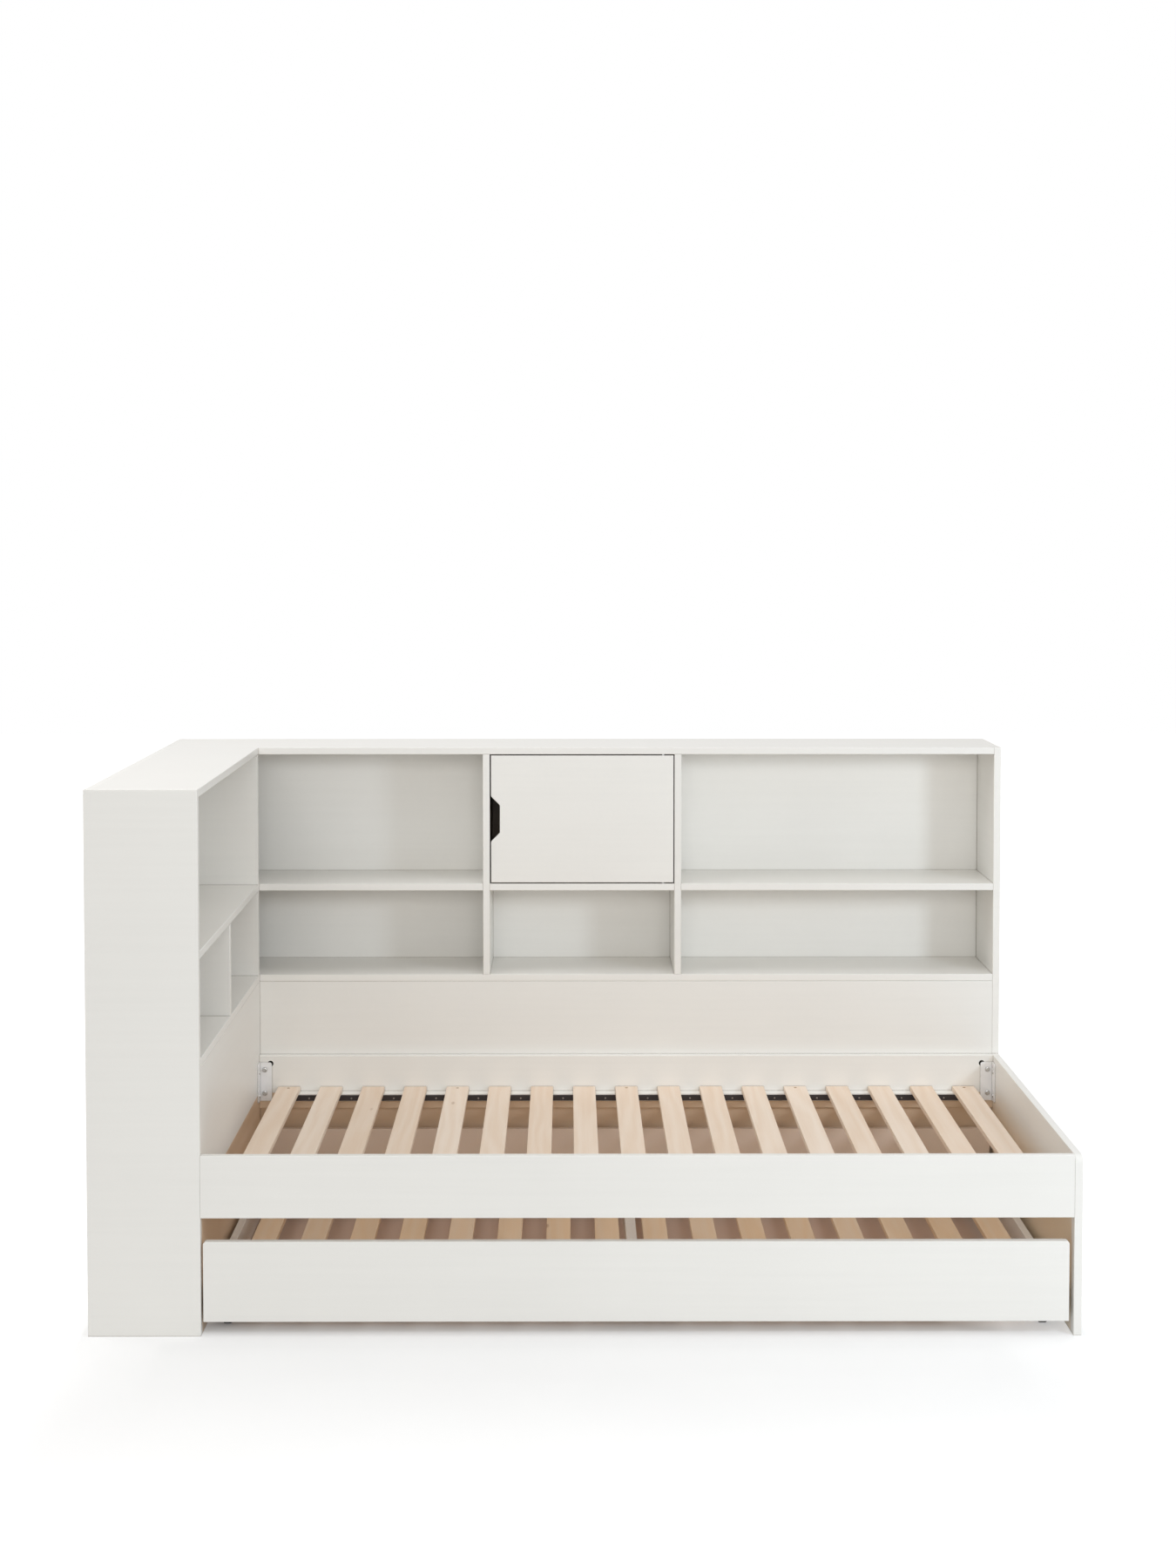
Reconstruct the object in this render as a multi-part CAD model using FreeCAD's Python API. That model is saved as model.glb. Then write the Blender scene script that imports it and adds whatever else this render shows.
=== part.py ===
import FreeCAD, Part
import math
import os

# A bookcase headboard bed: a single bed in the corner of an L of open shelving,
# with a second bed on castors that rolls out from under it.
#
# Millimetres. +Z is up, +X runs from the headboard to the footboard, and the
# bed's open side faces -Y. The origin is on the floor, in the middle of the
# whole footprint.

# ---------------------------------------------------------------- dimensions

# Painted boards
board = 18.0
edge_ease = 1.5

# The L of shelving
clear_length = 1930.0
clear_width = 950.0
head_depth = 250.0
wall_depth = 250.0
unit_height = 1214.0
shelf_top = 855.0
low_board_top = 615.0
middle_bay = 485.0
head_divider_from_front = 450.0

# Bed frame
rail_top = 403.5
rail_height = 139.0
deck_below_rail_top = 81.5
foot_corner_radius = 18.0

# Slatted base of the bed
slat_width = 58.0
slat_thickness = 12.0
slat_count = 17
slat_end_gap = 50.0
slat_play = 2.0
cleat_height = 20.0
cleat_depth = 28.0
strip_height = 16.0
strip_thickness = 2.0

# Steel angles in the bed's corners
bracket_leg = 33.5
bracket_height = 101.0
bracket_sheet = 3.0
bracket_corner_radius = 6.0
bracket_lift = 20.5
bracket_to_cleat = 20.5
bracket_hole_in = 15.0
bracket_hole_up = 20.0
bracket_hole_spacing = 62.0
panel_screw_drop = 5.0

# Cam locks that draw the rails to the end boards
cam_diameter = 15.0
cam_thickness = 12.0
cam_in = 30.0
cam_below_rail_top = 21.0
cam_sunk = 3.0
cam_slot_width = 2.0
cam_slot_depth = 2.5

# Door of the middle bay
door_side_gap = 3.5
door_pivot_gap = 2.5
door_height_gap = 3.0
pivot_from_side = 30.0
pivot_diameter = 8.0
pivot_depth = 12.0
grip_flat = 67.5
grip_depth = 23.0
grip_radius = 7.0
catch_width = 14.0
catch_height = 12.0
catch_length = 36.0
catch_from_side = 31.0
strike_thickness = 1.5
strike_drop = 12.0

# Trundle
trundle_left_gap = 5.0
trundle_right_gap = 10.0
trundle_wall_gap = 12.0
trundle_floor_gap = 32.5
hand_gap = 52.5
trundle_corner_radius = 8.0
trundle_end_inset = 5.0
trundle_deck = 105.0
trundle_slats_per_side = 8
trundle_slat_end_gap = 34.5
trundle_cleat_height = 20.0
trundle_cleat_depth = 20.0
trundle_beam_width = 25.0
trundle_beam_height = 50.0
trundle_beam_to_slat = 16.0

# Castors
wheel_diameter = 50.0
wheel_width = 18.0
wheel_hub_diameter = 20.0
wheel_rim = 6.0
wheel_dish = 4.0
wheel_edge_radius = 3.0
castor_sheet = 2.5
castor_plate_length = 60.0
castor_cheek_width = 26.0
castor_from_rail = 19.0
castor_from_cleat = 48.0
castor_under_slats = 3.0
castor_wheel_gap = 3.0
castor_hole_spacing = 40.0
castor_hole_down = 12.0
axle_diameter = 8.0
axle_head_diameter = 13.0
axle_head_height = 2.0

# Screws and bolts: head diameter, head height, shank diameter, length
bolt_size = (12.0, 3.5, 6.0, 14.0)
panel_screw_size = (9.0, 2.5, 4.0, 14.0)
strip_screw_size = (4.5, 1.0, 2.5, 16.0)
castor_screw_size = (8.0, 2.2, 4.0, 14.0)
slat_screw_head = 8.0
slat_screw_shank = 4.0
slat_screw_length = 26.0
slat_screw_from_end = 15.0
slats_per_screw = 4
drive_width = 1.2
drive_share_of_head = 0.6
dome_share_of_head = 0.6

# Clearances
moving_fit = 0.05
screw_fit = 0.2
side_play = 1.0
touch_gap = 0.3
cut_over = 1.0

# -------------------------------------------------------------- worked places

total_width = head_depth + clear_length + board
total_depth = clear_width + wall_depth
left, right = -total_width / 2, total_width / 2
front, back = -total_depth / 2, total_depth / 2

head_face = left + head_depth
foot_face = right - board
wall_face = front + clear_width
end_wall_face = wall_face - board
back_panel_face = back - board
front_inner = front + board

under_top = unit_height - board
under_shelf = shelf_top - board
under_low_board = low_board_top - board

divider_left = (-middle_bay / 2 - board, -middle_bay / 2)
divider_right = (middle_bay / 2, middle_bay / 2 + board)

rail_bottom = rail_top - rail_height
deck = rail_top - deck_below_rail_top
cleat_top = deck - slat_thickness
bracket_bottom = rail_bottom + bracket_lift
cleat_start = head_face + bracket_leg + bracket_to_cleat
cleat_end = foot_face - bracket_leg - bracket_to_cleat
slat_span = clear_length - 2 * slat_end_gap - slat_width
slat_pitch = slat_span / (slat_count - 1)
slat_centres = [head_face + slat_end_gap + slat_width / 2 + slat_pitch * i for i in range(slat_count)]

door_left = divider_left[1] + door_side_gap
door_right = divider_right[0] - door_pivot_gap
door_bottom = shelf_top + door_height_gap
door_top = under_top - door_height_gap
pivot_x = divider_right[0] - pivot_from_side
pivot_y = wall_face + board / 2

trundle_left = head_face + trundle_left_gap
trundle_right = foot_face - trundle_right_gap
trundle_middle = (trundle_left + trundle_right) / 2
trundle_back = wall_face - trundle_wall_gap
trundle_inner_back = trundle_back - board
trundle_board_top = rail_bottom - hand_gap
trundle_end_left = (trundle_left + trundle_end_inset, trundle_left + trundle_end_inset + board)
trundle_end_right = (trundle_right - trundle_end_inset - board, trundle_right - trundle_end_inset)
trundle_slat_bottom = trundle_deck - slat_thickness
first_slat_out = trundle_beam_width / 2 + trundle_beam_to_slat + slat_width / 2
last_slat_out = trundle_end_right[0] - trundle_slat_end_gap - slat_width / 2 - trundle_middle
trundle_slat_pitch = (last_slat_out - first_slat_out) / (trundle_slats_per_side - 1)

wheel_radius = wheel_diameter / 2
castor_web_bottom = wheel_diameter + castor_wheel_gap
castor_plate_top = trundle_slat_bottom - castor_under_slats
castor_from_board = trundle_cleat_depth + castor_from_cleat
castor_rows = (front_inner + castor_from_board, trundle_inner_back - castor_from_board)

UP = FreeCAD.Vector(0, 0, 1)
TO_FOOT = FreeCAD.Vector(1, 0, 0)
TO_WALL = FreeCAD.Vector(0, 1, 0)
SMALL = 0.001


# -------------------------------------------------------------------- helpers


def block(x, y, z):
    """A box between two ends along each axis, the ends in either order."""
    corner = FreeCAD.Vector(min(x), min(y), min(z))
    size = [max(ends) - min(ends) for ends in (x, y, z)]
    return Part.makeBox(*size, corner)


def lies_at(edge, axis, place):
    """True where the whole edge lies in the plane at one place on an axis."""
    low = getattr(edge.BoundBox, axis + "Min")
    high = getattr(edge.BoundBox, axis + "Max")
    return abs(low - place) < SMALL and abs(high - place) < SMALL


def ease(shape, axis, place, along="XYZ", sharp=(), radius=edge_ease):
    """Round a flat face's edges: those that run along the axes given, and
    that don't lie in one of the sharp planes, each an (axis, place) pair."""
    picked = []
    for edge in shape.Edges:
        box = edge.BoundBox
        lengths = {"X": box.XLength, "Y": box.YLength, "Z": box.ZLength}
        runs_along = any(lengths[name] > SMALL for name in along)
        is_sharp = any(lies_at(edge, *plane) for plane in sharp)
        if lies_at(edge, axis, place) and runs_along and not is_sharp:
            picked.append(edge)
    return shape.makeFillet(radius, picked)


def cylinder(diameter, length, start, direction):
    return Part.makeCylinder(diameter / 2, length, start, direction)


def group(shapes):
    """Separate solids that share one file."""
    return Part.makeCompound(list(shapes))


def placed(shape, seat, outward):
    """A copy of a shape drawn on +Z, moved to a seat and turned outward."""
    copy = shape.copy()
    copy.Placement = FreeCAD.Placement(seat, FreeCAD.Rotation(UP, outward))
    return copy


def cross_drive(head_diameter, top, depth):
    """The cross-shaped recess that a screwdriver fits."""
    reach = head_diameter * drive_share_of_head / 2
    half = drive_width / 2
    heights = (top - depth, top + depth)
    one_way = block((-reach, reach), (-half, half), heights)
    other_way = block((-half, half), (-reach, reach), heights)
    return one_way.fuse(other_way)


def pan_screw(head_diameter, head_height, shank_diameter, length):
    """A domed screw on +Z, whose head rests on the plane Z = 0."""
    origin = FreeCAD.Vector()
    head = cylinder(head_diameter, head_height, origin, UP)
    head = ease(head, "Z", head_height, radius=head_height * dome_share_of_head)
    head = head.cut(cross_drive(head_diameter, head_height, head_height / 2))
    shank = cylinder(shank_diameter, length, origin, -UP)
    return head.fuse(shank).removeSplitter()


def countersunk_screw(head_diameter, shank_diameter, length):
    """A flat-headed screw on +Z, whose head is flush with the plane Z = 0."""
    origin = FreeCAD.Vector()
    sink = (head_diameter - shank_diameter) / 2
    head = Part.makeCone(head_diameter / 2, shank_diameter / 2, sink, origin, -UP)
    head = head.cut(cross_drive(head_diameter, 0, sink / 2))
    shank = cylinder(shank_diameter, length, origin, -UP)
    shank = shank.cut(cross_drive(head_diameter, 0, sink / 2))
    return head.fuse(shank).removeSplitter()


def drilled(shape, seats, diameter, depth):
    """Cut a hole into a shape at each (seat, outward) pair."""
    for seat, outward in seats:
        start = seat + outward * cut_over
        hole = cylinder(diameter + 2 * screw_fit, depth + cut_over, start, -outward)
        shape = shape.cut(hole)
    return shape


def countersunk(shape, seats):
    """Cut the holes of flush slat screws, their heads' cones included."""
    head = slat_screw_head + 2 * screw_fit
    shank = slat_screw_shank + 2 * screw_fit
    sink = (slat_screw_head - slat_screw_shank) / 2
    for seat, outward in seats:
        cone = Part.makeCone(head / 2, shank / 2, sink, seat, -outward)
        shape = shape.cut(cone)
    return drilled(shape, seats, slat_screw_shank, slat_screw_length)


# ------------------------------------------------------------- headboard unit


def headboard_unit():
    """Shelving along the head of the bed, open towards the mattress."""
    width = (left + board, head_face)
    between = (front_inner, end_wall_face)

    front_panel = block((left, head_face), (front, front_inner), (0, unit_height))
    front_panel = ease(front_panel, "Y", front, sharp=[("Z", 0)])

    outer_panel = block((left, left + board), (front_inner, wall_face), (0, unit_height))
    outer_panel = ease(outer_panel, "X", left, along="Y", sharp=[("Z", 0)])

    top = block(width, (front_inner, wall_face), (under_top, unit_height))
    top = ease(top, "X", head_face, along="Y")

    end_wall = block(width, (end_wall_face, wall_face), (0, under_top))

    shelf = block(width, between, (under_shelf, shelf_top))
    shelf = ease(shelf, "X", head_face, along="Y")

    low_board = block(width, between, (under_low_board, low_board_top))
    low_board = ease(low_board, "X", head_face, along="Y")

    divider_front = front + head_divider_from_front
    divider = block(width, (divider_front, divider_front + board), (low_board_top, under_shelf))
    divider = ease(divider, "X", head_face, along="Z")

    lower_panel = block((head_face - board, head_face), between, (0, under_low_board))
    lower_panel = ease(lower_panel, "X", head_face, along="Y", sharp=[("Z", 0)])
    lower_panel = drilled(lower_panel, panel_screw_seats(head_face, 1), *panel_screw_size[2:])

    return {
        "head_front_panel": front_panel,
        "head_outer_panel": outer_panel,
        "head_top": top,
        "head_end_wall": end_wall,
        "head_shelf": shelf,
        "head_low_board": low_board,
        "head_divider": divider,
        "head_lower_panel": lower_panel,
    }


# ------------------------------------------------------------------ wall unit


def wall_board(x, z):
    """A level board of the wall unit, its front edges eased."""
    shape = block(x, (wall_face, back_panel_face), z)
    return ease(shape, "Y", wall_face, along="X")


def wall_unit():
    """Shelving along the long side of the bed, three bays wide."""
    inside = (left + board, foot_face)
    depth = (wall_face, back)

    side_left = block((left, left + board), depth, (0, unit_height))
    side_left = ease(side_left, "X", left, sharp=[("Z", 0), ("Y", wall_face)])

    side_right = block((foot_face, right), depth, (0, unit_height))
    side_right = ease(side_right, "X", right, sharp=[("Z", 0)])
    side_right = ease(side_right, "X", foot_face, along="Z", sharp=[("Y", back)])

    top = block(inside, depth, (under_top, unit_height))
    top = ease(top, "Y", wall_face, along="X")
    top = top.cut(pivot_hole(under_top, UP))

    low_board = wall_board(inside, (under_low_board, low_board_top))

    uprights = []
    for x in (divider_left, divider_right):
        upright = block(x, (wall_face, back_panel_face), (low_board_top, under_top))
        uprights.append(ease(upright, "Y", wall_face, along="Z"))

    shelf_z = (under_shelf, shelf_top)
    shelf_left = wall_board((inside[0], divider_left[0]), shelf_z)
    shelf_right = wall_board((divider_right[1], inside[1]), shelf_z)
    shelf_middle = wall_board((divider_left[1], divider_right[0]), shelf_z)
    shelf_middle = shelf_middle.cut(pivot_hole(shelf_top, -UP))

    back_panel = block(inside, (back_panel_face, back), (0, under_top))

    lower_panel = block(inside, (wall_face, wall_face + board), (0, under_low_board))
    lower_panel = ease(lower_panel, "Y", wall_face, along="X", sharp=[("Z", 0)])

    return {
        "wall_side_left": side_left,
        "wall_side_right": side_right,
        "wall_top": top,
        "wall_low_board": low_board,
        "wall_divider_left": uprights[0],
        "wall_divider_right": uprights[1],
        "wall_shelf_left": shelf_left,
        "wall_shelf_middle": shelf_middle,
        "wall_shelf_right": shelf_right,
        "wall_back_panel": back_panel,
        "wall_lower_panel": lower_panel,
    }


# ----------------------------------------------------------------------- door


def pivot_hole(surface, into):
    """The socket of a door pivot, sunk from a board's surface."""
    start = FreeCAD.Vector(pivot_x, pivot_y, surface)
    return cylinder(pivot_diameter + 2 * moving_fit, pivot_depth + touch_gap, start, into)


def grip_cutter():
    """The finger cut-out in the door's free edge: at each end a rounded
    corner, a slant at 45 degrees and a rounded hollow."""
    middle = (door_bottom + door_top) / 2
    r = grip_radius
    side = r * math.sin(math.pi / 4)
    bulge = FreeCAD.Vector(r * math.cos(math.pi / 8), 0, r * math.sin(math.pi / 8))
    half = grip_flat / 2
    outer = half + grip_depth - 2 * r + 4 * side

    def point(across, height):
        return FreeCAD.Vector(door_left + across, wall_face, middle + height)

    def end_edges(sign):
        corner_end = point(r - side, sign * (outer - side))
        corner = Part.Arc(point(0, sign * outer),
                          point(r - bulge.x, sign * (outer - bulge.z)), corner_end)
        hollow_start = point(grip_depth - r + side, sign * (half + side))
        hollow = Part.Arc(hollow_start,
                          point(grip_depth - r + bulge.x, sign * (half + bulge.z)),
                          point(grip_depth, sign * half))
        slant = Part.makeLine(corner_end, hollow_start)
        return [corner.toShape(), slant, hollow.toShape()]

    outside = [point(0, outer), point(-r, outer), point(-r, -outer), point(0, -outer)]
    edges = end_edges(1) + end_edges(-1)
    edges.append(Part.makeLine(point(grip_depth, half), point(grip_depth, -half)))
    for start, end in zip(outside, outside[1:]):
        edges.append(Part.makeLine(start, end))
    outline = Part.Wire(Part.__sortEdges__(edges))
    return Part.Face(outline).extrude(TO_WALL * board)


def door_parts():
    """The inset door, its two pivots, and the catch that holds it shut."""
    panel = block((door_left, door_right), (wall_face, wall_face + board), (door_bottom, door_top))
    panel = panel.cut(grip_cutter())
    panel = ease(panel, "Y", wall_face)
    panel = ease(panel, "Y", wall_face + board)

    # Each pivot is fast in the door and turns in the board above or below it.
    pins = []
    for surface, outward in ((door_top, UP), (door_bottom, -UP)):
        foot = FreeCAD.Vector(pivot_x, pivot_y, surface) - outward * pivot_depth
        pin = cylinder(pivot_diameter, 2 * pivot_depth + door_height_gap, foot, outward)
        pins.append(pin)
        panel = panel.cut(pin)

    door_back = wall_face + board
    strike_x = divider_left[1] + catch_from_side
    across = (strike_x - catch_width / 2, strike_x + catch_width / 2)
    catch_z = (under_top - catch_height, under_top)
    strike = block(across, (door_back, door_back + strike_thickness),
                   (door_top - strike_drop, door_top - edge_ease))
    catch_front = door_back + strike_thickness + touch_gap
    catch = block(across, (catch_front, catch_front + catch_length), catch_z)
    catch = ease(catch, "Z", catch_z[0], radius=edge_ease)

    return {
        "door_panel": panel,
        "door_pivot_pins": group(pins),
        "door_strike_plate": strike,
        "door_catch": catch,
    }


# ------------------------------------------------------------------ bed frame

# The four corners: where the end board and the rail meet, and the way in.
corners = {
    "front_head": (head_face, 1, front_inner, 1),
    "front_foot": (foot_face, -1, front_inner, 1),
    "back_head": (head_face, 1, end_wall_face, -1),
    "back_foot": (foot_face, -1, end_wall_face, -1),
}
bracket_hole_heights = [bracket_bottom + bracket_hole_up,
                        bracket_bottom + bracket_hole_up + bracket_hole_spacing]


def rail_bolt_seats(y_face):
    """Bolt seats on the angles' legs that lie along one rail."""
    seats = []
    for x, into_x, y, into_y in corners.values():
        if y == y_face:
            for z in bracket_hole_heights:
                seat = FreeCAD.Vector(x + into_x * bracket_hole_in, y + into_y * bracket_sheet, z)
                seats.append((seat, TO_WALL * into_y))
    return seats


def panel_screw_seats(x_face, into_x):
    """Screw seats on the angles' legs that lie along one end board."""
    seats = []
    for x, _, y, into_y in corners.values():
        if x == x_face:
            for z in bracket_hole_heights:
                seat = FreeCAD.Vector(x + into_x * bracket_sheet, y + into_y * bracket_hole_in,
                                      z - panel_screw_drop)
                seats.append((seat, TO_FOOT * into_x))
    return seats


def corner_bracket(x, into_x, y, into_y):
    """A steel angle in a corner of the bed, drilled on both legs."""
    height = (bracket_bottom, bracket_bottom + bracket_height)
    tip_x = x + into_x * bracket_leg
    tip_y = y + into_y * bracket_leg
    on_rail = block((x, tip_x), (y, y + into_y * bracket_sheet), height)
    on_panel = block((x, x + into_x * bracket_sheet), (y, tip_y), height)
    on_rail = ease(on_rail, "X", tip_x, along="Y", radius=bracket_corner_radius)
    on_panel = ease(on_panel, "Y", tip_y, along="X", radius=bracket_corner_radius)
    angle = on_rail.fuse(on_panel).removeSplitter()
    through = bracket_sheet + cut_over
    angle = drilled(angle, rail_bolt_seats(y), bolt_size[2], through)
    return drilled(angle, panel_screw_seats(x, into_x), panel_screw_size[2], through)


def cam_seats(y_face, into_y):
    """The cams' places on a rail's inner face."""
    z = rail_top - cam_below_rail_top
    places = (head_face + cam_in, foot_face - cam_in)
    return [(FreeCAD.Vector(x, y_face, z), TO_WALL * into_y) for x in places]


def cam_lock(seat, outward):
    """A round cam sunk below the rail's face, with its screwdriver slot."""
    top = seat - outward * cam_sunk
    body = cylinder(cam_diameter, cam_thickness, top, -outward)
    slot = block((-cam_diameter, cam_diameter), (-cam_slot_width / 2, cam_slot_width / 2),
                 (-cam_slot_depth, cam_slot_depth))
    return body.cut(placed(slot, top, outward))


def side_rail(y_outer, y_inner, into_y):
    """A long rail of the bed, drilled for its brackets and cams."""
    rail = block((head_face, foot_face), (y_outer, y_inner), (rail_bottom, rail_top))
    rail = ease(rail, "Y", y_inner, along="X")
    if y_outer == front:
        rail = ease(rail, "Y", y_outer, along="X")
    rail = drilled(rail, rail_bolt_seats(y_inner), bolt_size[2], bolt_size[3])
    return drilled(rail, cam_seats(y_inner, into_y), cam_diameter, cam_sunk + cam_thickness)


def footboard():
    """The low end board, its top corner rounded at the bed's open side."""
    shape = block((foot_face, right), (front, wall_face), (0, rail_top))
    corner = [edge for edge in shape.Edges if lies_at(edge, "Y", front) and lies_at(edge, "Z", rail_top)]
    shape = shape.makeFillet(foot_corner_radius, corner)
    for face in (foot_face, right):
        shape = ease(shape, "X", face, sharp=[("Z", 0), ("Y", wall_face)])
    return drilled(shape, panel_screw_seats(foot_face, -1), *panel_screw_size[2:])


def bed_frame():
    """Footboard and rails, with the steel that holds them together."""
    parts = {
        "footboard": footboard(),
        "front_rail": side_rail(front, front_inner, 1),
        "back_rail": side_rail(wall_face, end_wall_face, -1),
    }
    for name, place in corners.items():
        parts["bracket_" + name] = corner_bracket(*place)

    bolt = pan_screw(*bolt_size)
    bolt_seats = rail_bolt_seats(front_inner) + rail_bolt_seats(end_wall_face)
    parts["bracket_bolts"] = group(placed(bolt, *seat) for seat in bolt_seats)

    screw = pan_screw(*panel_screw_size)
    screw_seats = panel_screw_seats(head_face, 1) + panel_screw_seats(foot_face, -1)
    parts["bracket_screws"] = group(placed(screw, *seat) for seat in screw_seats)

    seats = cam_seats(front_inner, 1) + cam_seats(end_wall_face, -1)
    parts["rail_cams"] = group(cam_lock(*seat) for seat in seats)
    return parts


# ------------------------------------------------------ slatted base, main bed


def main_slat_screw_seats(y):
    """Every fourth slat is screwed down at each end."""
    return [(FreeCAD.Vector(x, y, deck), UP) for x in slat_centres[::slats_per_screw]]


def strip_screw_seats(y, outward):
    """One screw through the steel strip in each space between two slats."""
    z = cleat_top - cleat_height + strip_height / 2
    middles = [(a + b) / 2 for a, b in zip(slat_centres, slat_centres[1:])]
    return [(FreeCAD.Vector(x, y, z), outward) for x in middles]


def ledge(y_rail, into_y):
    """A cleat on one rail, its steel strip, and the strip's screws."""
    y_face = y_rail + into_y * cleat_depth
    y_strip = y_face + into_y * strip_thickness
    length = (cleat_start, cleat_end)
    cleat_bottom = cleat_top - cleat_height

    screw_line = y_rail + into_y * (slat_play + slat_screw_from_end)
    slat_seats = main_slat_screw_seats(screw_line)
    seats = strip_screw_seats(y_strip, TO_WALL * into_y)

    cleat = block(length, (y_rail, y_face), (cleat_bottom, cleat_top))
    cleat = ease(cleat, "Y", y_face, along="X")
    cleat = drilled(cleat, slat_seats, slat_screw_shank, slat_screw_length)
    cleat = drilled(cleat, seats, *strip_screw_size[2:])

    strip = block(length, (y_face, y_strip), (cleat_bottom + edge_ease, cleat_bottom + strip_height))
    strip = drilled(strip, seats, strip_screw_size[2], 2 * strip_thickness)

    screw = pan_screw(*strip_screw_size)
    return cleat, strip, [placed(screw, *seat) for seat in seats], slat_seats


def main_base():
    """The cleats on the rails and the slats laid across them."""
    front_cleat, front_strip, front_screws, front_seats = ledge(front_inner, 1)
    back_cleat, back_strip, back_screws, back_seats = ledge(end_wall_face, -1)

    seats = front_seats + back_seats
    length = (front_inner + slat_play, end_wall_face - slat_play)
    slats = []
    for x in slat_centres:
        slat = block((x - slat_width / 2, x + slat_width / 2), length, (cleat_top, deck))
        slat = ease(slat, "Z", deck, along="Y")
        own_seats = [seat for seat in seats if seat[0].x == x]
        slats.append(countersunk(slat, own_seats))

    screw = countersunk_screw(slat_screw_head, slat_screw_shank, slat_screw_length)
    return {
        "front_cleat": front_cleat,
        "back_cleat": back_cleat,
        "front_cleat_strip": front_strip,
        "back_cleat_strip": back_strip,
        "strip_screws": group(front_screws + back_screws),
        "main_slats": group(slats),
        "slat_screws": group(placed(screw, *seat) for seat in seats),
    }


# -------------------------------------------------------------------- trundle


def trundle_board(y):
    """The trundle's front or rear board, its top corners rounded."""
    shape = block((trundle_left, trundle_right), y, (trundle_floor_gap, trundle_board_top))
    top_corners = []
    for edge in shape.Edges:
        if edge.BoundBox.YLength > SMALL and lies_at(edge, "Z", trundle_board_top):
            top_corners.append(edge)
    shape = shape.makeFillet(trundle_corner_radius, top_corners)
    for face in y:
        shape = ease(shape, "Y", face)
    return shape


def trundle_slat_centres(side):
    """The slats' places on one side of the centre beam, from the beam out."""
    steps = range(trundle_slats_per_side)
    return [trundle_middle + side * (first_slat_out + trundle_slat_pitch * step) for step in steps]


def trundle_frame():
    """The trundle's boards, cleats, centre beam and slats."""
    inner = (front_inner, trundle_inner_back)
    between_ends = (trundle_end_left[1], trundle_end_right[0])
    cleat_z = (trundle_slat_bottom - trundle_cleat_height, trundle_slat_bottom)

    lines = {
        "front": (front_inner, front_inner + trundle_cleat_depth),
        "rear": (trundle_inner_back - trundle_cleat_depth, trundle_inner_back),
    }
    cleats = {end: block(between_ends, y, cleat_z) for end, y in lines.items()}

    half_beam = trundle_beam_width / 2
    beam = block((trundle_middle - half_beam, trundle_middle + half_beam), inner,
                 (trundle_deck - trundle_beam_height, trundle_deck))
    beam = ease(beam, "Z", trundle_deck, along="Y")
    for cleat in cleats.values():
        beam = beam.cut(cleat)

    screw = countersunk_screw(slat_screw_head, slat_screw_shank, slat_screw_length)
    slats = {}
    screws = []
    for side, label in ((-1, "left"), (1, "right")):
        slats[label] = []
        for x in trundle_slat_centres(side):
            slat = block((x - slat_width / 2, x + slat_width / 2),
                         (inner[0] + touch_gap, inner[1] - touch_gap),
                         (trundle_slat_bottom, trundle_deck))
            slat = ease(slat, "Z", trundle_deck, along="Y")
            seats = [(FreeCAD.Vector(x, sum(y) / 2, trundle_deck), UP) for y in lines.values()]
            slats[label].append(countersunk(slat, seats))
            screws += [placed(screw, *seat) for seat in seats]
            for end, seat in zip(lines, seats):
                cleats[end] = drilled(cleats[end], [seat], slat_screw_shank, slat_screw_length)

    end_z = (trundle_floor_gap, trundle_deck)
    ends = {}
    for label, x in (("left", trundle_end_left), ("right", trundle_end_right)):
        end_rail = ease(block(x, inner, end_z), "Z", trundle_deck, along="Y")
        inner_face = x[1] if label == "left" else x[0]
        into = 1 if label == "left" else -1
        for y in castor_rows:
            seats = castor_screw_seats(inner_face, into, y)
            end_rail = drilled(end_rail, seats, *castor_screw_size[2:])
        ends[label] = end_rail

    return {
        "trundle_front": trundle_board((front, front_inner)),
        "trundle_rear": trundle_board((trundle_inner_back, trundle_back)),
        "trundle_end_left": ends["left"],
        "trundle_end_right": ends["right"],
        "trundle_beam": beam,
        "trundle_front_cleat": cleats["front"],
        "trundle_rear_cleat": cleats["rear"],
        "trundle_slats_left": group(slats["left"]),
        "trundle_slats_right": group(slats["right"]),
        "trundle_slat_screws": group(screws),
    }


# -------------------------------------------------------------------- castors

castor_places = {
    "front_left": (trundle_end_left[1], 1, castor_rows[0]),
    "front_right": (trundle_end_right[0], -1, castor_rows[0]),
    "rear_left": (trundle_end_left[1], 1, castor_rows[1]),
    "rear_right": (trundle_end_right[0], -1, castor_rows[1]),
}


def castor_screw_seats(x_face, into, y):
    """Screw seats on a castor's side plate."""
    z = castor_plate_top - castor_hole_down
    x = x_face + into * castor_sheet
    spots = (y - castor_hole_spacing / 2, y + castor_hole_spacing / 2)
    return [(FreeCAD.Vector(x, spot, z), TO_FOOT * into) for spot in spots]


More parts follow.
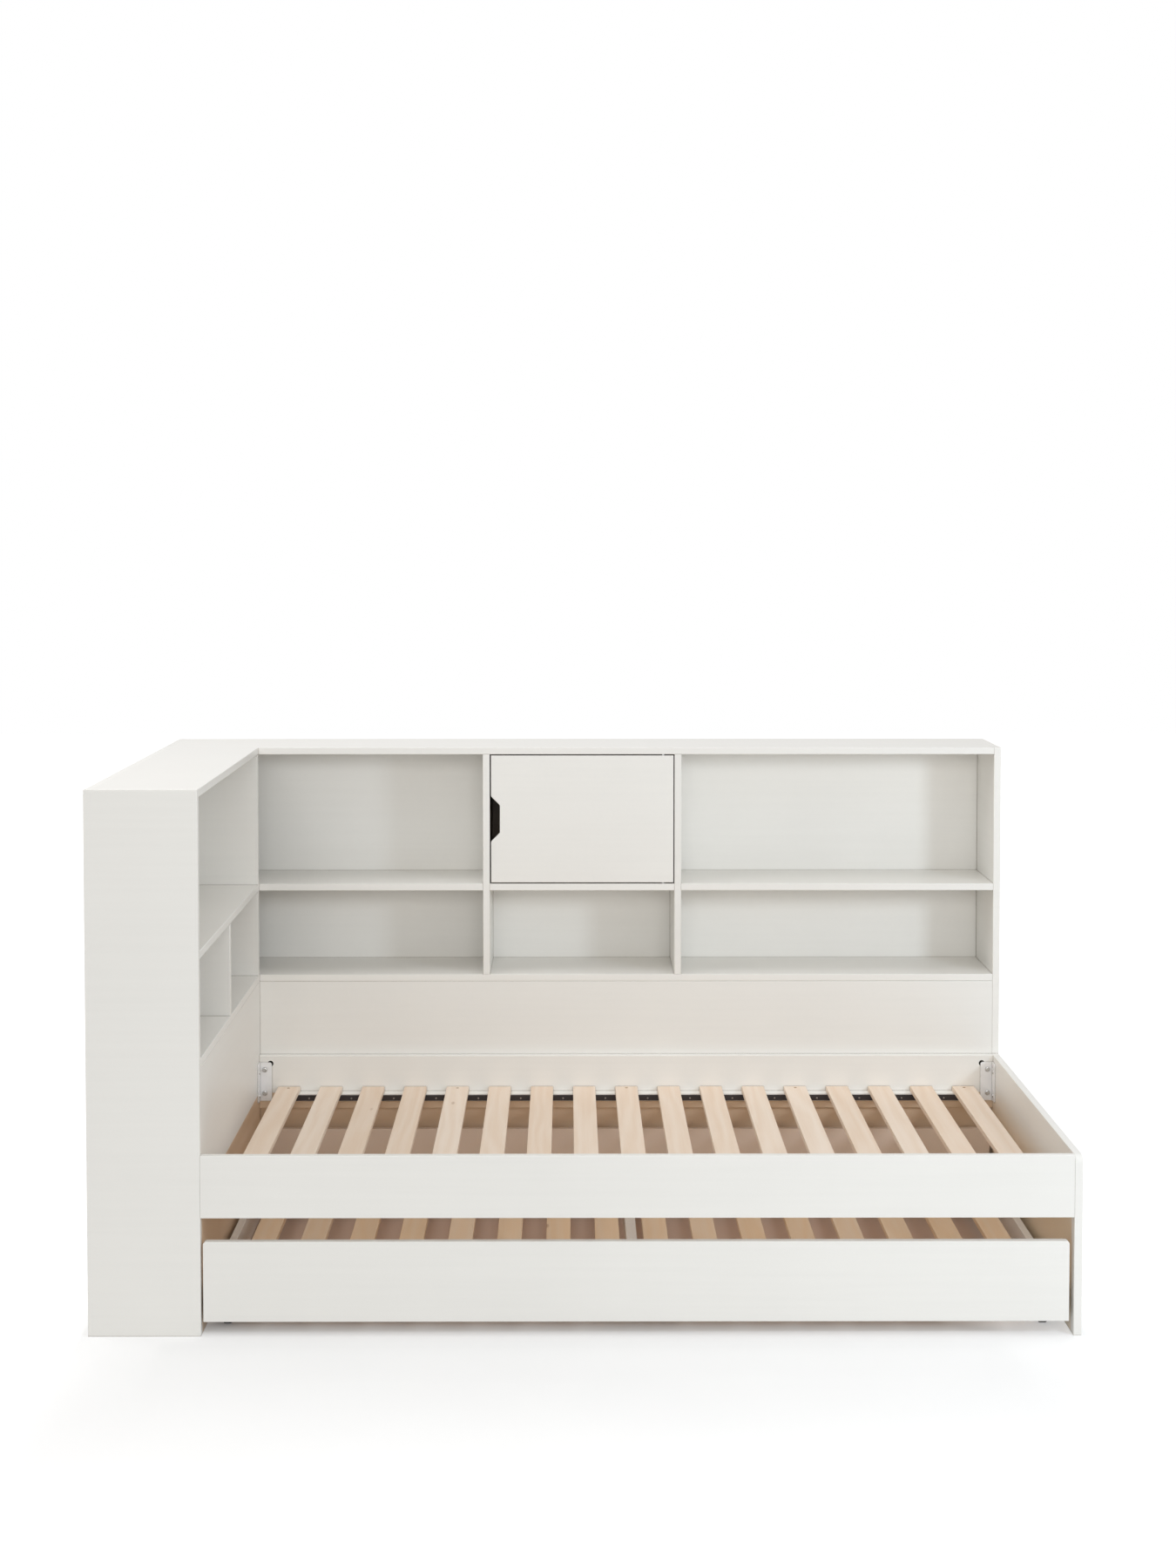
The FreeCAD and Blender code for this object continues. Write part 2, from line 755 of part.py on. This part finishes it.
def castor_housing(x_face, into, y):
    """Bent steel: a plate on the end rail, and a fork over the wheel."""
    centre = x_face + into * castor_from_rail
    inside = wheel_width / 2 + side_play
    outside = inside + castor_sheet
    web_top = castor_web_bottom + castor_sheet

    plate_y = (y - castor_plate_length / 2, y + castor_plate_length / 2)
    plate_x = (x_face, x_face + into * castor_sheet)
    housing = block(plate_x, plate_y, (castor_web_bottom, castor_plate_top))
    housing = ease(housing, "Z", castor_plate_top, along="X", radius=castor_sheet)

    far_side = centre + into * outside
    cheek_y = (y - castor_cheek_width / 2, y + castor_cheek_width / 2)
    web = block((x_face, far_side), cheek_y, (castor_web_bottom, web_top))
    housing = housing.fuse(web)

    for side in (-1, 1):
        near, far = centre + side * inside, centre + side * outside
        cheek = block((near, far), cheek_y, (wheel_radius, web_top))
        foot = cylinder(castor_cheek_width, castor_sheet,
                        FreeCAD.Vector(min(near, far), y, wheel_radius), TO_FOOT)
        housing = housing.fuse(cheek).fuse(foot)
    housing = housing.removeSplitter()

    bore_start = FreeCAD.Vector(centre - outside - castor_sheet, y, wheel_radius)
    housing = housing.cut(cylinder(axle_diameter, 2 * outside + 2 * castor_sheet, bore_start, TO_FOOT))
    seats = castor_screw_seats(x_face, into, y)
    return drilled(housing, seats, castor_screw_size[2], castor_sheet + cut_over)


def castor_wheel(x_face, into, y):
    """A solid wheel, dished on both sides between its hub and its rim."""
    centre = x_face + into * castor_from_rail
    start = FreeCAD.Vector(centre - wheel_width / 2, y, wheel_radius)
    wheel = cylinder(wheel_diameter, wheel_width, start, TO_FOOT)
    for end in (0, wheel_width):
        wheel = ease(wheel, "X", start.x + end, radius=wheel_edge_radius)
        dish_start = start + TO_FOOT * (end - wheel_dish)
        dish = cylinder(wheel_diameter - 2 * wheel_rim, 2 * wheel_dish, dish_start, TO_FOOT)
        hub = cylinder(wheel_hub_diameter, 2 * wheel_dish, dish_start, TO_FOOT)
        wheel = wheel.cut(dish.cut(hub))
    return wheel.cut(cylinder(axle_diameter + 2 * moving_fit, wheel_width, start, TO_FOOT))


def castor_axle(x_face, into, y):
    """The axle, headed at both ends where it leaves the fork."""
    centre = x_face + into * castor_from_rail
    outside = wheel_width / 2 + side_play + castor_sheet
    start = FreeCAD.Vector(centre - outside, y, wheel_radius)
    end = start + TO_FOOT * (2 * outside)
    axle = cylinder(axle_diameter, 2 * outside, start, TO_FOOT)
    near_head = cylinder(axle_head_diameter, axle_head_height, start, -TO_FOOT)
    far_head = cylinder(axle_head_diameter, axle_head_height, end, TO_FOOT)
    return axle.fuse(near_head).fuse(far_head).removeSplitter()


def castors():
    """Four fixed castors, two by each end rail."""
    parts = {}
    screw = pan_screw(*castor_screw_size)
    screws = []
    for name, place in castor_places.items():
        parts["castor_housing_" + name] = castor_housing(*place)
        parts["castor_wheel_" + name] = castor_wheel(*place)
        screws += [placed(screw, *seat) for seat in castor_screw_seats(*place)]
    parts["castor_axles"] = group(castor_axle(*place) for place in castor_places.values())
    parts["castor_screws"] = group(screws)
    return parts


# ---------------------------------------------------------------------- files

os.makedirs("parts", exist_ok=True)
for section in (headboard_unit, wall_unit, door_parts, bed_frame, main_base, trundle_frame, castors):
    for name, shape in section().items():
        shape.exportStep("parts/" + name + ".step")
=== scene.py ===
import collections
import math

import bpy
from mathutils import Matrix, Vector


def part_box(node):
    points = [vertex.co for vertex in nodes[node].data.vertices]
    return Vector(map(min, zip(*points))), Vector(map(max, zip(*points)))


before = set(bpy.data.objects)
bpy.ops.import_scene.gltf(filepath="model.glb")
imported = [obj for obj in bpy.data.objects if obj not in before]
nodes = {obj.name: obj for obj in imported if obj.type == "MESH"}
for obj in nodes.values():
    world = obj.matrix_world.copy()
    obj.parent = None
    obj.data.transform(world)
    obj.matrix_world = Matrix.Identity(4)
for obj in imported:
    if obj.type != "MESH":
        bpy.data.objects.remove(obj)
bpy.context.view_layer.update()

scene = bpy.context.scene

# All lengths are in metres and all colours in linear light.

# ------------------------------------------------------------------- camera
# Fitted to the photograph's straight edges, for a frame of 1350 x 1800.

CAMERA_PLACE = (-0.03969, -5.38097, 1.77191)
TILT_DOWN, ROLL, PAN = 0.04281, 0.00021, -0.00269

camera_data = bpy.data.cameras.new("camera")
camera_data.sensor_fit = "VERTICAL"
camera_data.sensor_height = 36.0
camera_data.lens = 50.3625
camera_data.shift_x = 0.0097
camera_data.shift_y = -0.0992
camera_data.clip_end = 60.0
camera = bpy.data.objects.new("camera", camera_data)
camera.location = CAMERA_PLACE
camera.rotation_euler = (math.pi / 2 - TILT_DOWN, ROLL, PAN)
scene.collection.objects.link(camera)
scene.camera = camera
scene.view_settings.view_transform = "Standard"


# ------------------------------------------------------------ building looks

NODE_SAMPLES = 4  # rays that a bevel or an occlusion node sends


class Look:
    """A material or world being built, with short calls for its nodes."""

    def __init__(self, owner, output="OutputMaterial"):
        owner.use_nodes = True
        self.owner = owner
        self.tree = owner.node_tree
        self.tree.nodes.clear()
        self.output = self.add(output)

    def add(self, kind, inputs=None, **settings):
        node = self.tree.nodes.new("ShaderNode" + kind)
        for key, value in settings.items():
            setattr(node, key, value)
        for key, value in (inputs or {}).items():
            self.set(node, key, value)
        return node

    def set(self, node, key, value):
        if isinstance(value, bpy.types.NodeSocket):
            self.tree.links.new(value, node.inputs[key])
        else:
            node.inputs[key].default_value = value

    def math(self, operation, a, b=0.0, clamp=False):
        node = self.add("Math", {0: a, 1: b}, operation=operation, use_clamp=clamp)
        return node.outputs[0]

    def times(self, a, b):
        return self.math("MULTIPLY", a, b)

    def plus(self, a, b):
        return self.math("ADD", a, b)

    def vector(self, operation, a, b=(0.0, 0.0, 0.0)):
        node = self.add("VectorMath", {0: a, 1: b}, operation=operation)
        gives_number = operation in ("DOT_PRODUCT", "LENGTH")
        return node.outputs["Value" if gives_number else "Vector"]

    def axis(self, vector, name):
        return self.add("SeparateXYZ", {0: vector}).outputs[name]

    def place(self):
        return self.add("TexCoord").outputs["Object"]

    def face_normal(self):
        return self.add("NewGeometry").outputs["True Normal"]

    def scaled(self, vector, scale):
        return self.add("Mapping", {"Vector": vector, "Scale": scale}).outputs["Vector"]

    def noise(self, vector, scale, detail, roughness=0.5):
        node = self.add("TexNoise", {"Vector": vector, "Scale": scale, "Detail": detail,
                                     "Roughness": roughness})
        return node.outputs["Fac"]

    def stretched_noise(self, vector, scale, detail, roughness=0.5):
        """Noise with its own scale along each axis."""
        return self.noise(self.scaled(vector, scale), 1.0, detail, roughness)

    def ramp(self, value, low, high, to_low=0.0, to_high=1.0):
        node = self.add("MapRange", {"Value": value, "From Min": low, "From Max": high,
                                     "To Min": to_low, "To Max": to_high}, clamp=True)
        return node.outputs["Result"]

    def mix(self, factor, a, b):
        node = self.add("Mix", data_type="RGBA")
        for key, value in ((0, factor), (6, a), (7, b)):
            self.set(node, key, value)
        return node.outputs[2]

    def bump(self, height, distance, strength, normal=None):
        node = self.add("Bump", {"Height": height, "Distance": distance, "Strength": strength})
        if normal is not None:
            self.set(node, "Normal", normal)
        return node.outputs["Normal"]

    def edges(self, radius):
        """1 along sharp edges and 0 on flat faces."""
        rounded = self.add("Bevel", {"Radius": radius}, samples=NODE_SAMPLES).outputs[0]
        return self.ramp(self.vector("DOT_PRODUCT", rounded, self.face_normal()), 0.98, 0.72)

    def crease(self, distance):
        """1 deep in narrow seams and corners, and 0 in the open."""
        node = self.add("AmbientOcclusion", {"Distance": distance}, samples=NODE_SAMPLES)
        return self.ramp(node.outputs["AO"], 0.92, 0.3)

    def curve(self, value, span, points):
        """Straight lines between (value, result) points, from 0 up to a span."""
        share = self.math("DIVIDE", value, span, clamp=True)
        node = self.add("ValToRGB", {"Fac": share})
        steps = node.color_ramp.elements
        while len(steps) < len(points):
            steps.new(0.5)
        for step, (at, result) in zip(steps, points):
            step.position = at / span
            step.color = (result, result, result, 1.0)
        return node.outputs["Color"]

    def outside(self, place, half, centre=(0.0, 0.0, 0.0)):
        """How far a point lies outside a box of a half size and a centre."""
        moved = self.vector("SUBTRACT", place, centre)
        over = self.vector("SUBTRACT", self.vector("ABSOLUTE", moved), half)
        return self.vector("LENGTH", self.vector("MAXIMUM", over))

    def inside(self, place, half, centre, fade):
        """1 inside a box, and 0 from a fade's distance outside it."""
        return self.ramp(self.outside(place, half, centre), 0.0, fade, 1.0, 0.0)

    def shader(self, kind, inputs):
        return self.add(kind, inputs).outputs[0]

    def show(self, shader):
        self.tree.links.new(shader, self.output.inputs["Surface"])
        return self.owner

    def surface(self, **inputs):
        named = {key.replace("_", " "): value for key, value in inputs.items()}
        return self.show(self.shader("BsdfPrincipled", named))


def tint(colour, factor):
    return tuple(channel * factor for channel in colour[:3]) + (1.0,)


# ---------------------------------------------------------------- materials

WHITE = (0.905, 0.893, 0.858)
CUPBOARD_SHADE = (0.23, 0.175, 0.125, 1.0)
RUBBED_WOOD = (0.74, 0.66, 0.52, 1.0)
SEAM_DUST_AND_SHADE = (0.33, 0.29, 0.24, 1.0)
STEEL_DUST_AND_SHADE = (0.2, 0.19, 0.18, 1.0)
KNOT = (0.36, 0.19, 0.08, 1.0)
SAWN_TIMBER = (0.93, 0.70, 0.48, 1.0)

# Where a board's white is painted over with warm shade: a box, the colour painted there,
# and how far below the box's top that colour reaches its full strength.
ShadeBox = collections.namedtuple("ShadeBox", "half centre colour fade")
BOX_EDGE = 0.001  # how sharply such a box ends at its sides

# Under the mattress the inner faces of the boards are painted warm brown: painted shade for
# the dim, warm light seen between the slats.
UNDER_DECK_SHADE = ShadeBox(half=(0.9755, 0.46675, 0.153), centre=(0.1175, -0.11475, 0.153),
                  colour=(0.79, 0.61, 0.445, 1.0), fade=0.001)
# The footboard's inner face is painted warm brown towards its foot: painted shade below the
# deck.
FOOTBOARD_SHADE = ShadeBox(half=(0.9755, 0.45675, 0.17), centre=(0.1175, -0.11475, 0.17),
                   colour=(0.93, 0.80, 0.62, 1.0), fade=0.11)
# The trundle's rear board, out of sight while the trundle is in, is painted light brown:
# painted shade for the warm dark behind the slats.
REAR_BOARD_SHADE = ShadeBox(half=(1.0, 0.02, 0.1), centre=(0.11, 0.34, 0.12),
                  colour=(0.90, 0.77, 0.67, 1.0), fade=0.001)
# Inside the cupboard the boards are painted dark brown: painted shade, as the closed cupboard
# looks dark through the finger cut-out.
CUPBOARD_HALF = (0.2445, 0.108, 0.172)
CUPBOARD_CENTRE = (0.0, 0.4755, 1.0255)


def paint(name, colour, gloss=0.34, shade_box=None):
    """Sprayed satin paint on smooth board: faint grain and mottle, a fine skin, dust and
    painted shade in the seams, and rubbed edges; painted shade inside the cupboard and in a
    given box."""
    look = Look(bpy.data.materials.new(name))
    place = look.place()
    cloud = look.noise(place, 2.2, 2.0)
    speck = look.noise(place, 190.0, 3.0, 0.6)
    skin = look.noise(place, 420.0, 2.0, 0.55)
    streak = look.stretched_noise(place, (2.2, 2.2, 85.0), 3.0, 0.55)
    edge = look.edges(0.0022)
    rub = look.times(edge, look.ramp(look.noise(place, 34.0, 3.0), 0.46, 0.66))

    toned = look.mix(look.ramp(cloud, 0.3, 0.7), tint(colour, 0.985), tint(colour, 1.012))
    toned = look.mix(look.ramp(streak, 0.4, 0.75, 0.0, 0.10), toned, tint(colour, 0.86))
    # Painted shade: inside the cupboard the colour turns dark.
    cupboard_shade = look.inside(place, CUPBOARD_HALF, CUPBOARD_CENTRE, BOX_EDGE)
    toned = look.mix(cupboard_shade, toned, CUPBOARD_SHADE)
    # Painted shade: within the box the white gives way to its warm colour below the box's top.
    if shade_box:
        top = shade_box.half[2] + shade_box.centre[2]
        below = look.ramp(look.axis(place, "Z"), top - shade_box.fade, top, 1.0, 0.0)
        within = look.inside(place, shade_box.half, shade_box.centre, BOX_EDGE)
        toned = look.mix(look.times(within, below), toned, shade_box.colour)
    toned = look.mix(look.ramp(speck, 0.35, 0.75, 0.0, 0.035), toned, tint(colour, 0.72))
    toned = look.mix(look.times(rub, 0.22), toned, RUBBED_WOOD)
    # Seams and inside corners are darkened by occlusion: dust and painted shade.
    toned = look.mix(look.times(look.crease(0.004), 0.75), toned, SEAM_DUST_AND_SHADE)
    rough = look.ramp(cloud, 0.3, 0.7, gloss - 0.03, gloss + 0.04)
    rough = look.plus(rough, look.times(edge, 0.08))
    normal = look.bump(skin, 0.00003, 0.6)
    normal = look.bump(speck, 0.00004, 0.5, normal)
    return look.surface(Base_Color=toned, Roughness=rough, Normal=normal, IOR=1.42)


def slat_timber(name, first, pitch, light, dark):
    """Pale sawn timber, grain along the slat, no two slats quite alike. First
    is the middle of the first slat along X, and pitch the step to the next."""
    look = Look(bpy.data.materials.new(name))
    place = look.place()
    along = look.math("SUBTRACT", look.axis(place, "X"), first - pitch / 2)
    count = look.math("FLOOR", look.math("DIVIDE", along, pitch))
    chance = look.add("TexWhiteNoise", {"W": count}, noise_dimensions="1D")
    own = look.vector("MULTIPLY", chance.outputs["Color"], (3.0, 9.0, 5.0))
    moved = look.vector("ADD", place, own)

    flow = look.stretched_noise(moved, (9.0, 1.1, 9.0), 2.0)
    bent = look.plus(look.times(look.axis(moved, "X"), 150.0), look.times(flow, 34.0))
    ring = look.plus(look.times(look.math("SINE", bent), 0.5), 0.5)
    fibre = look.stretched_noise(moved, (900.0, 14.0, 900.0), 4.0, 0.62)
    streak = look.stretched_noise(moved, (120.0, 2.2, 120.0), 3.0, 0.6)

    cells = look.add("TexVoronoi", {"Vector": look.scaled(moved, (16.0, 5.0, 16.0)),
                                    "Scale": 1.0, "Randomness": 1.0}, feature="F1")
    red = look.add("SeparateColor", {0: cells.outputs["Color"]}).outputs[0]
    present = look.ramp(red, 0.86, 0.88)
    knot = look.times(look.ramp(cells.outputs["Distance"], 0.11, 0.04), present)

    tone = look.times(ring, 0.30)
    for part, weight in ((streak, 0.55), (fibre, 0.35), (chance.outputs["Value"], 0.45)):
        tone = look.plus(tone, look.times(part, weight))
    colour = look.mix(look.ramp(tone, 0.42, 1.25), light, dark)
    colour = look.mix(look.times(knot, 0.55), colour, KNOT)
    colour = look.mix(look.times(look.edges(0.002), 0.12), colour, tint(dark, 0.8))
    # The undersides were only sawn, and are yellower.
    underside = look.ramp(look.axis(look.face_normal(), "Z"), -0.6, -0.2, 1.0, 0.0)
    colour = look.mix(underside, colour, SAWN_TIMBER)
    normal = look.bump(fibre, 0.00012, 0.55)
    normal = look.bump(streak, 0.0002, 0.4, normal)
    rough = look.ramp(fibre, 0.3, 0.7, 0.58, 0.7)
    return look.surface(Base_Color=colour, Roughness=rough, Normal=normal)


def metal(name, colour, rough, grain=(300.0, 300.0, 300.0), metallic=1.0):
    """Plated or painted steel, with a fine drawn grain, dull patches and a painted highlight
    along the edges.
    """
    look = Look(bpy.data.materials.new(name))
    place = look.place()
    drawn = look.stretched_noise(place, grain, 3.0, 0.6)
    patch = look.noise(place, 60.0, 2.0)
    toned = look.mix(look.ramp(drawn, 0.3, 0.7), tint(colour, 0.86), tint(colour, 1.08))
    # Edges are painted lighter: a painted highlight.
    toned = look.mix(look.times(look.edges(0.0008), 0.35), toned, tint(colour, 1.3))
    roughness = look.plus(look.ramp(patch, 0.3, 0.7, rough - 0.06, rough + 0.08),
                          look.times(drawn, 0.05))
    return look.surface(Base_Color=toned, Roughness=roughness, Metallic=metallic,
                        Normal=look.bump(drawn, 0.00003, 0.5))


def powder_coat(name, colour, rough):
    """Baked paint on steel: orange-peel skin, faint cloud, grey rubbed edges, dust and painted
    shade in the creases.
    """
    look = Look(bpy.data.materials.new(name))
    place = look.place()
    cloud = look.noise(place, 45.0, 2.0)
    peel = look.noise(place, 900.0, 1.5)
    scratch = look.stretched_noise(place, (500.0, 500.0, 30.0), 3.0, 0.7)
    toned = look.mix(look.ramp(cloud, 0.3, 0.7), tint(colour, 0.97), tint(colour, 1.02))
    toned = look.mix(look.ramp(scratch, 0.62, 0.8, 0.0, 0.18), toned, tint(colour, 0.7))
    toned = look.mix(look.times(look.edges(0.0006), 0.3), toned, tint(colour, 0.62))
    # Creases are darkened by occlusion: dust and painted shade.
    toned = look.mix(look.times(look.crease(0.003), 0.8), toned, STEEL_DUST_AND_SHADE)
    roughness = look.ramp(cloud, 0.3, 0.7, rough - 0.04, rough + 0.06)
    return look.surface(Base_Color=toned, Roughness=roughness,
                        Normal=look.bump(peel, 0.00002, 0.7))


def plastic(name, colour, rough):
    """Moulded plastic with a fine spark texture and scuffs."""
    look = Look(bpy.data.materials.new(name))
    place = look.place()
    spark = look.noise(place, 1400.0, 2.0)
    scuff = look.stretched_noise(place, (40.0, 90.0, 90.0), 4.0, 0.7)
    scuffed = look.ramp(scuff, 0.45, 0.75, 0.0, 0.3)
    toned = look.mix(scuffed, tint(colour, 1.0), tint(colour, 1.6))
    roughness = look.ramp(scuff, 0.3, 0.7, rough - 0.05, rough + 0.12)
    return look.surface(Base_Color=toned, Roughness=roughness,
                        Normal=look.bump(spark, 0.00002, 0.7))


# ------------------------------------------------------- looks of the pieces


def starting(*starts):
    return sorted(name for name in nodes if name.startswith(starts))


def assign(material, *names):
    for name in names:
        slots = nodes[name].data.materials
        slots.clear()
        slots.append(material)


def soften(*names):
    """Break the boards' sharp edges, so that each joint shows as a fine seam."""
    for name in names:
        # The CAD faces don't share their border points, so these are joined first.
        weld = nodes[name].modifiers.new("weld", "WELD")
        weld.merge_threshold = 0.000002
        bevel = nodes[name].modifiers.new("soften", "BEVEL")
        bevel.width = 0.0008
        bevel.segments = 2
        bevel.angle_limit = math.radians(50)
        bevel.harden_normals = True


unit_boards = starting("head_", "wall_")
trundle_boards = ("trundle_front", "trundle_rear", "trundle_end_left", "trundle_end_right")

# No two boards took the paint quite alike.
board_paints = [paint("board_paint_%d" % number, tint(WHITE, tone), shade_box=UNDER_DECK_SHADE)
                for number, tone in enumerate((1.0, 0.985, 1.012))]
for number, name in enumerate(unit_boards):
    assign(board_paints[number % len(board_paints)], name)
assign(board_paints[0], "front_rail", "back_rail", "door_panel")
assign(paint("footboard_paint", WHITE, shade_box=FOOTBOARD_SHADE), "footboard")
assign(paint("cleat_paint", WHITE), "front_cleat", "back_cleat")
assign(paint("trundle_paint", WHITE, gloss=0.36, shade_box=REAR_BOARD_SHADE), *trundle_boards,
       "trundle_beam", "trundle_front_cleat", "trundle_rear_cleat")
soften(*unit_boards, *trundle_boards)

SLAT_WIDTH = 0.058


def slat_row(box, count):
    """The middle of the first slat along X, and the step to the next."""
    low, high = box
    return low.x + SLAT_WIDTH / 2, (high.x - low.x - SLAT_WIDTH) / (count - 1)


first, pitch = slat_row(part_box("main_slats"), count=17)
assign(slat_timber("main_slat_timber", first, pitch, light=(0.925, 0.795, 0.675, 1.0),
                   dark=(0.835, 0.66, 0.51, 1.0)), "main_slats")
for label in ("left", "right"):
    first, pitch = slat_row(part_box("trundle_slats_" + label), count=8)
    assign(slat_timber("trundle_slat_timber_" + label, first, pitch,
                       light=(0.98, 0.82, 0.635, 1.0), dark=(0.95, 0.73, 0.495, 1.0)),
           "trundle_slats_" + label)

assign(powder_coat("bracket_paint", (0.93, 0.93, 0.935), rough=0.3),
       "bracket_front_head", "bracket_front_foot", "bracket_back_head", "bracket_back_foot")
assign(metal("zinc", (0.62, 0.62, 0.61), rough=0.3), "bracket_bolts", "bracket_screws",
       "door_pivot_pins", "door_strike_plate", "castor_screws")
assign(metal("dull_zinc", (0.36, 0.33, 0.30), rough=0.5), "strip_screws")
assign(metal("dark_cam", (0.035, 0.033, 0.03), rough=0.45), "rail_cams")
assign(metal("black_strip", (0.033, 0.027, 0.028), rough=0.45,
             grain=(40.0, 900.0, 900.0), metallic=0.0),
       "front_cleat_strip", "back_cleat_strip")
assign(metal("brass", (0.42, 0.27, 0.12), rough=0.38), "slat_screws", "trundle_slat_screws")
assign(metal("castor_steel", (0.5, 0.5, 0.49), rough=0.34),
       "castor_axles", *starting("castor_housing_"))
assign(plastic("wheel_plastic", (0.05, 0.05, 0.052), rough=0.42), *starting("castor_wheel_"))
assign(plastic("catch_plastic", (0.22, 0.16, 0.11), rough=0.4), "door_catch")


# ------------------------------------------------------------ floor and light

FLOOR_REACH = 14.0
ENDLESS = 99.0  # half size of a box along an axis that doesn't limit it
LIFT_SPAN = 2.0  # the distance up to which the lift's curves are given
PURE_WHITE = (1.0, 1.0, 1.0, 1.0)


def white_to_eye(look):
    """1 for rays that should meet a plain white background, else 0."""
    path = look.add("LightPath").outputs
    seen = look.math("MAXIMUM", path["Is Camera Ray"], path["Is Glossy Ray"])
    return look.math("MAXIMUM", seen, path["Is Transmission Ray"])


def floor_lift(look, place):
    """How far the floor is lifted to white: nearly none close to the bed, where
    the shadow stays, and more with the distance ahead of it, past its front
    corners and to its sides."""
    ahead = look.outside(place, (ENDLESS, 0.5, 1.0))
    lift = look.curve(ahead, LIFT_SPAN, [
        (0.0, 0.0), (0.013, 0.045), (0.029, 0.10), (0.056, 0.21), (0.073, 0.31),
        (0.089, 0.42), (0.106, 0.38), (0.133, 0.33), (0.16, 0.305), (0.245, 0.32),
        (0.33, 0.335), (0.47, 0.37), (0.65, 0.42), (0.85, 0.475), (1.6, 0.80)])
    corner = look.outside(place, (0.78, ENDLESS, 1.0))
    near = look.curve(corner, LIFT_SPAN, [
        (0.0, 0.0), (0.06, 0.14), (0.16, 0.34), (0.25, 0.39), (0.35, 0.47), (0.45, 0.57),
        (0.6, 0.69), (2.0, 0.85)])
    not_under = look.ramp(look.outside(place, (ENDLESS, 0.44, 1.0)), 0.0, 0.04)
    blend = {0: lift, 1: look.times(near, not_under), 2: 0.12}
    lift = look.add("Math", blend, operation="SMOOTH_MAX").outputs[0]
    side = look.outside(place, (1.1, ENDLESS, 1.0))
    far = look.curve(side, LIFT_SPAN, [(0.0, 0.0), (0.012, 0.5), (0.05, 0.67), (2.0, 0.9)])
    return look.math("MAXIMUM", lift, far)


def make_floor():
    mesh = bpy.data.meshes.new("floor")
    corners = [(x * FLOOR_REACH, y * FLOOR_REACH, 0)
               for x, y in ((-1, -1), (1, -1), (1, 1), (-1, 1))]
    mesh.from_pydata(corners, [], [(0, 1, 2, 3)])
    floor = bpy.data.objects.new("floor", mesh)
    scene.collection.objects.link(floor)

    look = Look(bpy.data.materials.new("floor"))
    place = look.place()
    grain = look.ramp(look.noise(place, 3.0, 3.0), 0.3, 0.7)
    colour = look.mix(grain, (0.86, 0.86, 0.86, 1.0), (0.88, 0.88, 0.88, 1.0))
    # Under the bed the floor is painted warm: painted bounce light from the pale slats.
    under = look.inside(place, (0.98, 0.45, 1.0), (0.0, 0.0, 0.0), 0.1)
    colour = look.mix(under, colour, (0.95, 0.755, 0.625, 1.0))
    plain = look.shader("BsdfDiffuse", {"Color": colour})
    # The eye meets a calmer floor than the light does: three quarters of its
    # shading, and a lift that carries it to white away from the bed.
    calm = look.mix(0.25, colour, (0.0, 0.0, 0.0, 1.0))
    calm = look.shader("BsdfDiffuse", {"Color": calm})
    lift = look.shader("Emission", {"Color": PURE_WHITE, "Strength": floor_lift(look, place)})
    # Under the trundle the floor glows faintly warm: painted bounce light from the pale slats.
    slat_bounce_glow = look.inside(place, (0.85, 0.30, 1.0), (0.11, -0.12, 0.0), 0.1)
    slat_bounce_glow = look.shader("Emission", {"Color": (0.03, 0.016, 0.01, 1.0), "Strength": slat_bounce_glow})
    lift = look.shader("AddShader", {0: lift, 1: slat_bounce_glow})
    bright = look.shader("AddShader", {0: calm, 1: lift})
    mixed = look.shader("MixShader", {0: white_to_eye(look), 1: plain, 2: bright})
    mesh.materials.append(look.show(mixed))


def make_world():
    look = Look(bpy.data.worlds.new("studio"), "OutputWorld")
    lit = look.shader("Background", {"Color": (1.0, 0.98, 0.95, 1.0), "Strength": 0.46})
    seen = look.shader("Background", {"Color": PURE_WHITE, "Strength": 1.0})
    mixed = look.shader("MixShader", {0: white_to_eye(look), 1: lit, 2: seen})
    scene.world = look.show(mixed)


def softbox(name, place, target, size, power, colour):
    lamp = bpy.data.lights.new(name, "AREA")
    lamp.shape = "RECTANGLE"
    lamp.size, lamp.size_y = size
    lamp.energy = power
    lamp.color = colour
    holder = bpy.data.objects.new(name, lamp)
    holder.location = place
    aim = Vector(target) - Vector(place)
    holder.rotation_euler = aim.to_track_quat("-Z", "Y").to_euler()
    holder.visible_camera = False
    scene.collection.objects.link(holder)


make_floor()
make_world()
softbox("key", place=(2.5, -2.0, 1.6), target=(0.0, 0.0, 0.6), size=(0.45, 0.45),
        power=22.0, colour=(0.80, 0.90, 1.0))
softbox("front", place=(0.0, -9.5, 3.3), target=(0.0, 0.0, 0.6), size=(4.5, 2.0),
        power=174.0, colour=(0.985, 0.985, 0.97))
softbox("top", place=(0.0, -0.5, 5.4), target=(0.0, -0.2, 0.0), size=(3.0, 2.4),
        power=46.0, colour=(1.0, 0.985, 0.97))
softbox("top_left", place=(-2.2, -0.6, 3.2), target=(0.2, 0.0, 0.2), size=(1.6, 1.6),
        power=19.0, colour=(0.98, 0.99, 1.0))
